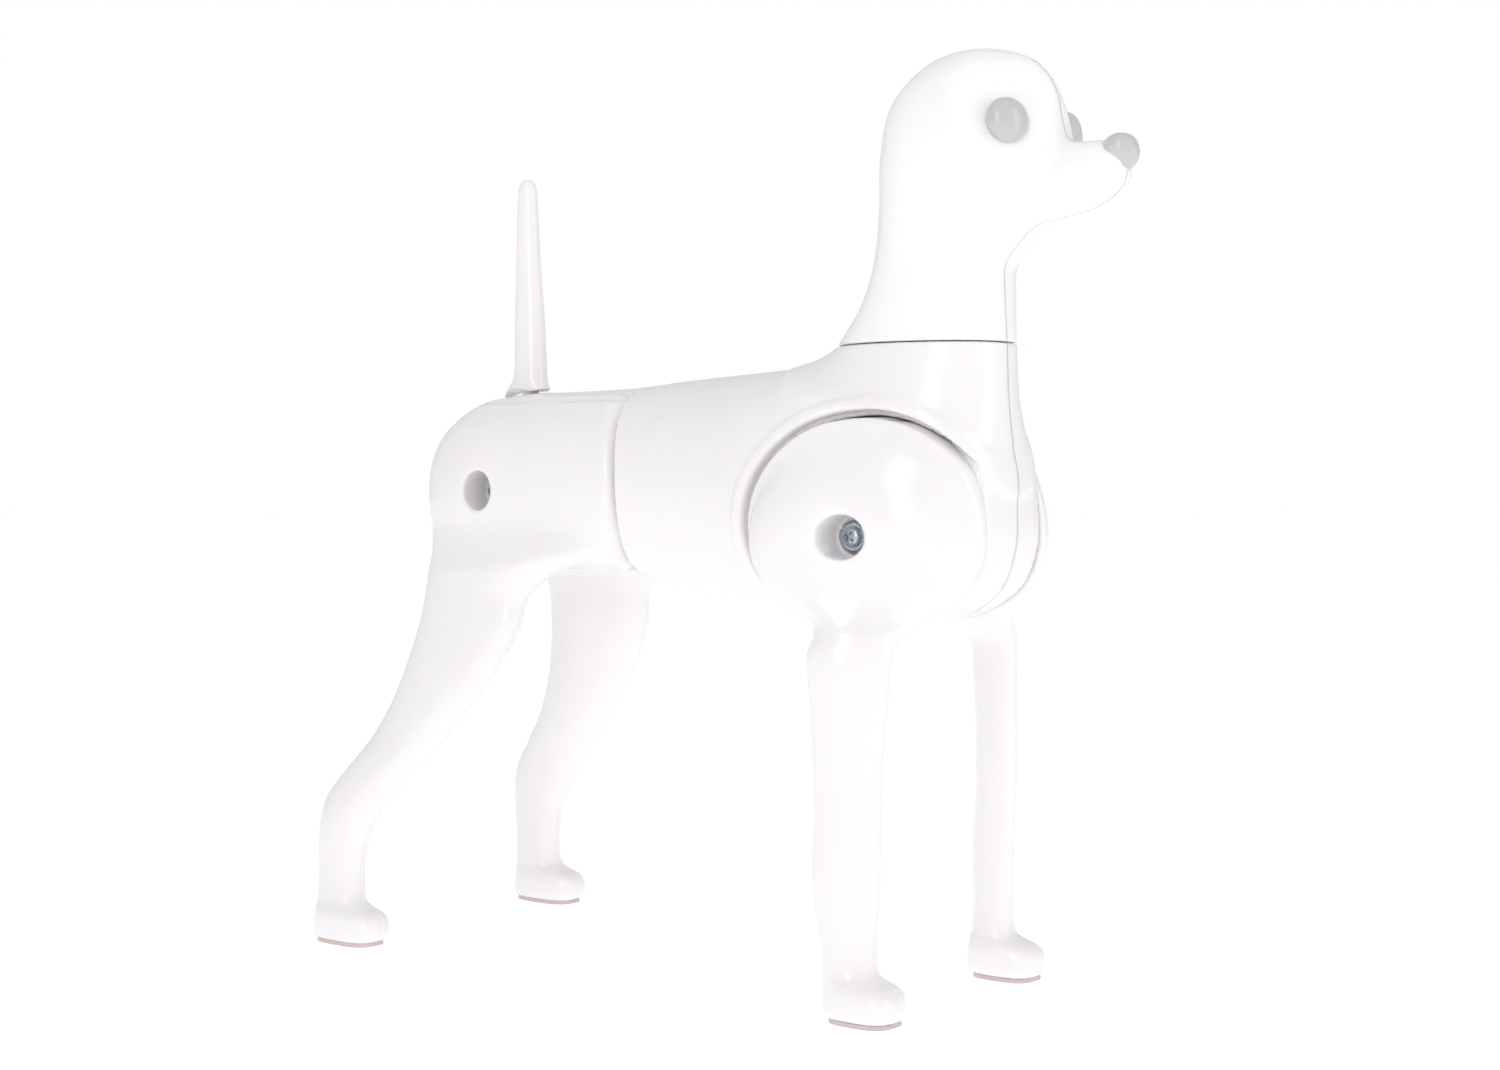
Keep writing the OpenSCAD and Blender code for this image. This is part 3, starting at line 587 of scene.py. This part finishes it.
def metal(name, colour, rough, scale=900.0):
    """Plated or drawn metal with fine scratches and a cloudy finish."""
    m, nodes, links, bsdf = new_material(name)
    coords = nodes.new("ShaderNodeTexCoord")
    tint = cloudy(nodes, links, coords, scale, colour, [c * 0.7 for c in colour])
    links.new(tint, bsdf.inputs["Base Color"])
    bsdf.inputs["Metallic"].default_value = 1.0
    spread(nodes, links, noise(nodes, links, coords, scale * 3), rough * 0.8, rough * 1.3,
           bsdf.inputs["Roughness"])
    grain(nodes, links, bsdf, noise(nodes, links, coords, scale * 6), 0.15, 0.00008)
    return m


def rubber(name, colour, rough=0.7):
    """Matt rubber with a fine grain."""
    m = moulded_plastic(name, colour, [c * 0.88 for c in colour], rough, 0.5)
    m.node_tree.nodes["Principled BSDF"].inputs["Coat Weight"].default_value = 0.0
    return m


# The seam values below set how strongly painted shade darkens the shells' joint lines.
MATERIALS = {
    "body_plastic": moulded_plastic("body_plastic", (0.90, 0.875, 0.89), (0.88, 0.855, 0.875), 0.2, 0.05,
                                    seam=0.16, glow=0.35),
    "head_plastic": moulded_plastic("head_plastic", (0.955, 0.95, 0.955), (0.945, 0.94, 0.945), 0.2, 0.05,
                                    seam=0.05, glow=0.35),
    "eye_plastic": moulded_plastic("eye_plastic", (0.56, 0.56, 0.565), (0.54, 0.54, 0.545), 0.22, 0.02),
    "inner_plastic": moulded_plastic("inner_plastic", (0.8, 0.8, 0.8), (0.74, 0.74, 0.74), 0.45, 0.2),
    "zinc_steel": metal("zinc_steel", (0.50, 0.57, 0.63), 0.26),
    "spring_steel": metal("spring_steel", (0.28, 0.30, 0.32), 0.35),
    "brass": metal("brass", (0.72, 0.55, 0.26), 0.3),
    "sole_rubber": rubber("sole_rubber", (0.68, 0.56, 0.55)),
    "ring_rubber": rubber("ring_rubber", (0.04, 0.04, 0.04), 0.5)}


def place(o, body, slot, *replaced):
    """Puts a piece on its body, in its slot's material, in the place of CAD nodes."""
    o.data.materials.clear()
    o.data.materials.append(MATERIALS[slot])
    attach(o, body)
    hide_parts(*replaced)


def dress_cad_nodes():
    """The CAD nodes that stay take their record slot's material."""
    for row in frame["record"]["subparts"]:
        o = frame["nodes"][row["node"]]
        o.data.materials.clear()
        o.data.materials.append(MATERIALS[row["material_slot"]])


# ---- Shells ----
def span(ribs, low_y, high_y, room_x=4.0):
    """Box of a rib list with room around it."""
    a = np.array(ribs)
    x, z = a[:, [0, 2]], a[:, [1, 3]]
    room_z = 4.0
    return [x.min() - room_x, low_y, z.min() - room_z], [x.max() + room_x, high_y, z.max() + room_z]


def half_mesh(field, low, high, step):
    """Mesh of the left half of a symmetric field, with its open edge drawn onto the plane Y = 0."""
    points, quads, normals = grid_mesh(field, low, high, step)
    keep = points[:, 1] > -0.5 * step
    quads = quads[keep[quads].all(1)]
    sides = [quads[:, [i, (i + 1) % 4]] for i in range(4)]
    pairs, counts = np.unique(np.sort(np.concatenate(sides), 1), axis=0, return_counts=True)
    points[np.unique(pairs[counts == 1]), 1] = 0.0
    used = np.unique(quads)
    renumber = np.full(len(points), -1)
    renumber[used] = np.arange(len(used))
    return points[used], renumber[quads], normals[used]


def close_half(o):
    """Fills the flat face of a half shell so that it is a closed solid."""
    bm = bmesh.new()
    bm.from_mesh(o.data)
    rim = [e for e in bm.edges if e.is_boundary]
    bmesh.ops.holes_fill(bm, edges=rim, sides=0)
    bm.to_mesh(o.data)
    bm.free()


def make_halves(body, field, ribs, high_y, step, slot):
    """Left and right half shells of a body that is split on its middle plane."""
    low, high = span(ribs, -2.5 * step, high_y)
    points, quads, normals = half_mesh(field, low, high, step)
    for side, mirror in SIDES:
        # The Y distance from the middle plane marks where the material paints a thin line of shade.
        o = as_object(f"{body}_{side}_half", points, quads, normals, mirror, points[:, 1])
        close_half(o)
        place(o, body, slot, f"{body}_{side}_shell")


def make_legs(end, field, loft, ribs, high_y, step):
    """Left and right leg of one end; each stands for its outer and inner shell."""
    low, high = span(ribs, 16, high_y, room_x=8.0)
    points, quads, normals = grid_mesh(field, low, high, step)
    # Distance from the leg's joint plane, where the material paints a thin line of shade.
    seam = points[:, 1] - loft.mid_at(points)
    for side, mirror in SIDES:
        leg = f"{end}_{side}"
        o = as_object(f"{leg}_leg_shells", points, quads, normals, mirror, seam)
        place(o, f"{leg}_leg", "body_plastic", f"{leg}_outer_shell", f"{leg}_inner_shell")


def make_tail():
    low, high = span(TAIL, -14, 14)
    points, quads, normals = grid_mesh(tail_field, low, high, 0.9)
    # The Y distance from the middle plane marks where the material paints a thin line of shade.
    o = as_object("tail_piece", points, quads, normals, seam=points[:, 1])
    place(o, "tail", "body_plastic", "tail")


# ---- Eyes and nose ----
EYE_SEAT = np.array([169.0, 26.5, 397.5])
EYE_TURN, EYE_LIFT = math.radians(62), math.radians(9)
EYE_R, EYE_H, EYE_ROUND = 10.2, 6.5, 0.9
EYE_SKIRT = ((0.7, -7.0), (0.93, -1.6), (0.985, -0.6))
NOSE_SEAT = np.array([209.0, 0.0, 382.5])
NOSE_TILT = math.radians(62)
NOSE_R, NOSE_RISE, NOSE_H, NOSE_ROUND = 8.3, 1.6, 8.0, 0.8
NOSE_SKIRT = ((0.75, -5.0), (0.97, -1.0))
QUARTER_TURN = [i / 20 * math.pi / 2 for i in range(20)]


def local_axes(out, side):
    """Rows: across, side, out."""
    z = np.array(out, float)
    z /= np.linalg.norm(z)
    y = np.array(side, float) - np.dot(side, z) * z
    y /= np.linalg.norm(y)
    return np.stack([np.cross(y, z), y, z])


def cap_profile(radius, rise, height, roundness, skirt):
    """(radius, height) pairs over a hidden skirt and a round cap, from the back to the crown."""
    cap = [(radius * math.cos(a) ** roundness, rise + height * math.sin(a)) for a in QUARTER_TURN]
    return [(radius * share, h) for share, h in skirt] + cap


def button(name, seat, out, side, profile, shape):
    """Turned button on a seat; shape(angle) scales the radius."""
    segments = 96
    angles = np.arange(segments) * 2 * math.pi / segments
    s = shape(angles)
    rings = [np.column_stack([r * s * np.cos(angles), r * s * np.sin(angles), np.full(segments, h)])
             for r, h in profile]
    crown, back = [[0, 0, profile[-1][1]]], [[0, 0, profile[0][1]]]
    points = np.concatenate(rings + [crown, back])
    last = (len(profile) - 1) * segments
    top, base = last + segments, last + segments + 1
    around = [(j, (j + 1) % segments) for j in range(segments)]
    faces = [[i + j, i + k, i + segments + k, i + segments + j]
             for i in range(0, last, segments) for j, k in around]
    faces += [[last + j, last + k, top] for j, k in around]
    faces += [[k, j, base] for j, k in around]
    mesh = bpy.data.meshes.new(name)
    mesh.from_pydata(((points @ local_axes(out, side) + seat) * MM).tolist(), [], faces)
    mesh.polygons.foreach_set("use_smooth", np.ones(len(mesh.polygons), bool))
    o = bpy.data.objects.new(name, mesh)
    bpy.context.scene.collection.objects.link(o)
    return o


def rounded_triangle(a):
    return 1 + 0.07 * np.cos(3 * a)


def make_face():
    profile = cap_profile(EYE_R, 0, EYE_H, EYE_ROUND, EYE_SKIRT)
    for side, s in (("left", 1), ("right", -1)):
        out = [math.cos(EYE_LIFT) * math.sin(EYE_TURN), s * math.cos(EYE_LIFT) * math.cos(EYE_TURN),
               math.sin(EYE_LIFT)]
        o = button(f"{side}_eye_button", EYE_SEAT * [1, s, 1], out, (0, 0, 1), profile, np.ones_like)
        place(o, "head", "eye_plastic", f"{side}_eye")
    profile = cap_profile(NOSE_R, NOSE_RISE, NOSE_H, NOSE_ROUND, NOSE_SKIRT)
    out = [math.sin(NOSE_TILT), 0, math.cos(NOSE_TILT)]
    o = button("nose_button", NOSE_SEAT, out, (0, 1, 0), profile, rounded_triangle)
    place(o, "head", "eye_plastic", "nose")


# ---- Screws ----
PAN_R, PAN_BALL_R, PAN_BALL_Z = 4.7, 7.8, -4.4
CROSS_FLOOR, CROSS_HALF, CROSS_REACH, CROSS_HUB_R = 1.3, 0.55, 2.5, 1.2
CROSS_TAPER, CROSS_TURN = 0.2, 0.6
SHANK_R, SHANK_LENGTH, SHANK_LAP = 2.5, 42.2, 0.2
SHANK_CHAMFER = 1.0


def screw_field(p):
    """Pan head screw along +Z with a cross recess; its seat is at Z = 0."""
    x, y, z = p.T
    rho = np.hypot(x, y)
    ball = np.sqrt(rho ** 2 + (z - PAN_BALL_Z) ** 2) - PAN_BALL_R
    head = round_max(round_max(rho - PAN_R, -z, 0.3), ball, 0.8)
    ax, ay = np.abs(x), np.abs(y)
    arm = np.minimum(np.maximum(ax - CROSS_HALF, ay - CROSS_REACH),
                     np.maximum(ay - CROSS_HALF, ax - CROSS_REACH))
    arm = np.minimum(arm, rho - CROSS_HUB_R)
    depth = CROSS_FLOOR - z
    head = round_max(head, -np.maximum(arm + CROSS_TAPER * depth, depth), 0.12)
    shank = np.maximum(rho - SHANK_R, np.maximum(z - SHANK_LAP, -SHANK_LENGTH - z))
    return np.minimum(head, shank)


def make_screws():
    """One screw each side of a joint pair, on the washers that lie in the counterbore."""
    points, quads, normals = grid_mesh(screw_field, [-5.6, -5.6, -43], [5.6, 5.6, 4.4], 0.28)
    c, s = math.cos(CROSS_TURN), math.sin(CROSS_TURN)
    axes = np.array([[c, s, 0], [-s, c, 0], [0, 0, 1]]) @ [[1, 0, 0], [0, 0, -1], [0, 1, 0]]
    for name, axis, floor_y, length in (("shoulder_screws", SHOULDER, SHOULDER_WELL, SHOULDER_SCREW),
                                        ("hip_screws", HIP, HIP_WELL, HIP_SCREW)):
        p = points.copy()
        shrink = (length - SHANK_CHAMFER) / SHANK_LENGTH
        p[:, 2] = np.where(p[:, 2] < 0, p[:, 2] * shrink, p[:, 2])
        q = p @ axes + [axis[0], floor_y + SPACER + SPRING_WASHER + FLAT_WASHER, axis[1]]
        n = normals @ axes
        o = as_object(name + "_finished", np.concatenate([q, q * [1, -1, 1]]),
                      np.concatenate([quads, quads[:, ::-1] + len(q)]), np.concatenate([n, n * [1, -1, 1]]))
        place(o, "torso", "zinc_steel", name)


# ---- Stage, lights and camera ----
CAMERA_AT = Vector((0.6966, -0.8926, 0.2404))
VIEW_AZ, VIEW_PITCH = math.radians(37.7), math.radians(1.37)
AIM = Vector((0, 0, 0.22))
FLOOR_HALF = 12.0


def make_stage():
    mesh = bpy.data.meshes.new("floor")
    corners = [(x * FLOOR_HALF, y * FLOOR_HALF, 0) for x, y in ((-1, -1), (1, -1), (1, 1), (-1, 1))]
    mesh.from_pydata(corners, [], [(0, 1, 2, 3)])
    floor = bpy.data.objects.new("floor", mesh)
    bpy.context.scene.collection.objects.link(floor)
    m, nodes, links, bsdf = new_material("pale_floor")
    bsdf.inputs["Base Color"].default_value = (0.97, 0.97, 0.97, 1)
    bsdf.inputs["Roughness"].default_value = 0.9
    bsdf.inputs["Emission Color"].default_value = (1, 1, 1, 1)
    bsdf.inputs["Emission Strength"].default_value = 0.36
    mesh.materials.append(m)


def heading(azimuth, elevation):
    """Unit vector at an elevation and an azimuth, which is measured from -Y towards +X."""
    return Vector((math.sin(azimuth) * math.cos(elevation), -math.cos(azimuth) * math.cos(elevation),
                   math.sin(elevation)))


def make_camera():
    data = bpy.data.cameras.new("camera")
    data.sensor_width = 36.0
    data.lens = 55.2
    data.clip_start = 0.01
    data.clip_end = 100
    cam = bpy.data.objects.new("camera", data)
    cam.location = CAMERA_AT
    cam.rotation_euler = (-heading(VIEW_AZ, VIEW_PITCH)).to_track_quat("-Z", "Y").to_euler()
    bpy.context.scene.collection.objects.link(cam)
    bpy.context.scene.camera = cam


def softbox(name, azimuth, elevation, distance, width, height, power):
    """Area light; azimuth is measured in degrees from the camera's direction, positive to its right."""
    data = bpy.data.lights.new(name, "AREA")
    data.shape = "RECTANGLE"
    data.size = width
    data.size_y = height
    data.energy = power
    o = bpy.data.objects.new(name, data)
    o.location = AIM + distance * heading(VIEW_AZ + math.radians(azimuth), math.radians(elevation))
    o.rotation_euler = (AIM - o.location).to_track_quat("-Z", "Y").to_euler()
    bpy.context.scene.collection.objects.link(o)


def make_lights():
    """Three softboxes in a white room, which the camera sees brighter than it lights the dog."""
    bpy.context.scene.view_settings.view_transform = "Standard"
    world = bpy.data.worlds.new("studio")
    bpy.context.scene.world = world
    world.use_nodes = True
    nodes, links = world.node_tree.nodes, world.node_tree.links
    back = nodes["Background"]
    back.inputs["Color"].default_value = (1, 1, 1, 1)
    path = nodes.new("ShaderNodeLightPath")
    seen = nodes.new("ShaderNodeMapRange")
    seen.inputs["To Min"].default_value = 0.66
    seen.inputs["To Max"].default_value = 1.0
    links.new(path.outputs["Is Camera Ray"], seen.inputs["Value"])
    links.new(seen.outputs["Result"], back.inputs["Strength"])
    softbox("front", -14, 24, 1.9, 0.4, 1.5, 6.4)
    softbox("side", 62, 20, 1.9, 0.55, 1.6, 4.0)
    softbox("top", 0, 78, 1.8, 1.8, 1.2, 3.2)


make_halves("torso", torso_field, TORSO, 68, 1.5, "body_plastic")
make_halves("head", head_field, HEAD, 46, 1.4, "head_plastic")
make_legs("front", front_field, front_loft, FRONT_LEG, 80, 1.3)
make_legs("hind", hind_field, hind_loft, HIND_LEG, 94, 1.4)
make_tail()
make_face()
make_screws()
dress_cad_nodes()
make_stage()
make_camera()
make_lights()
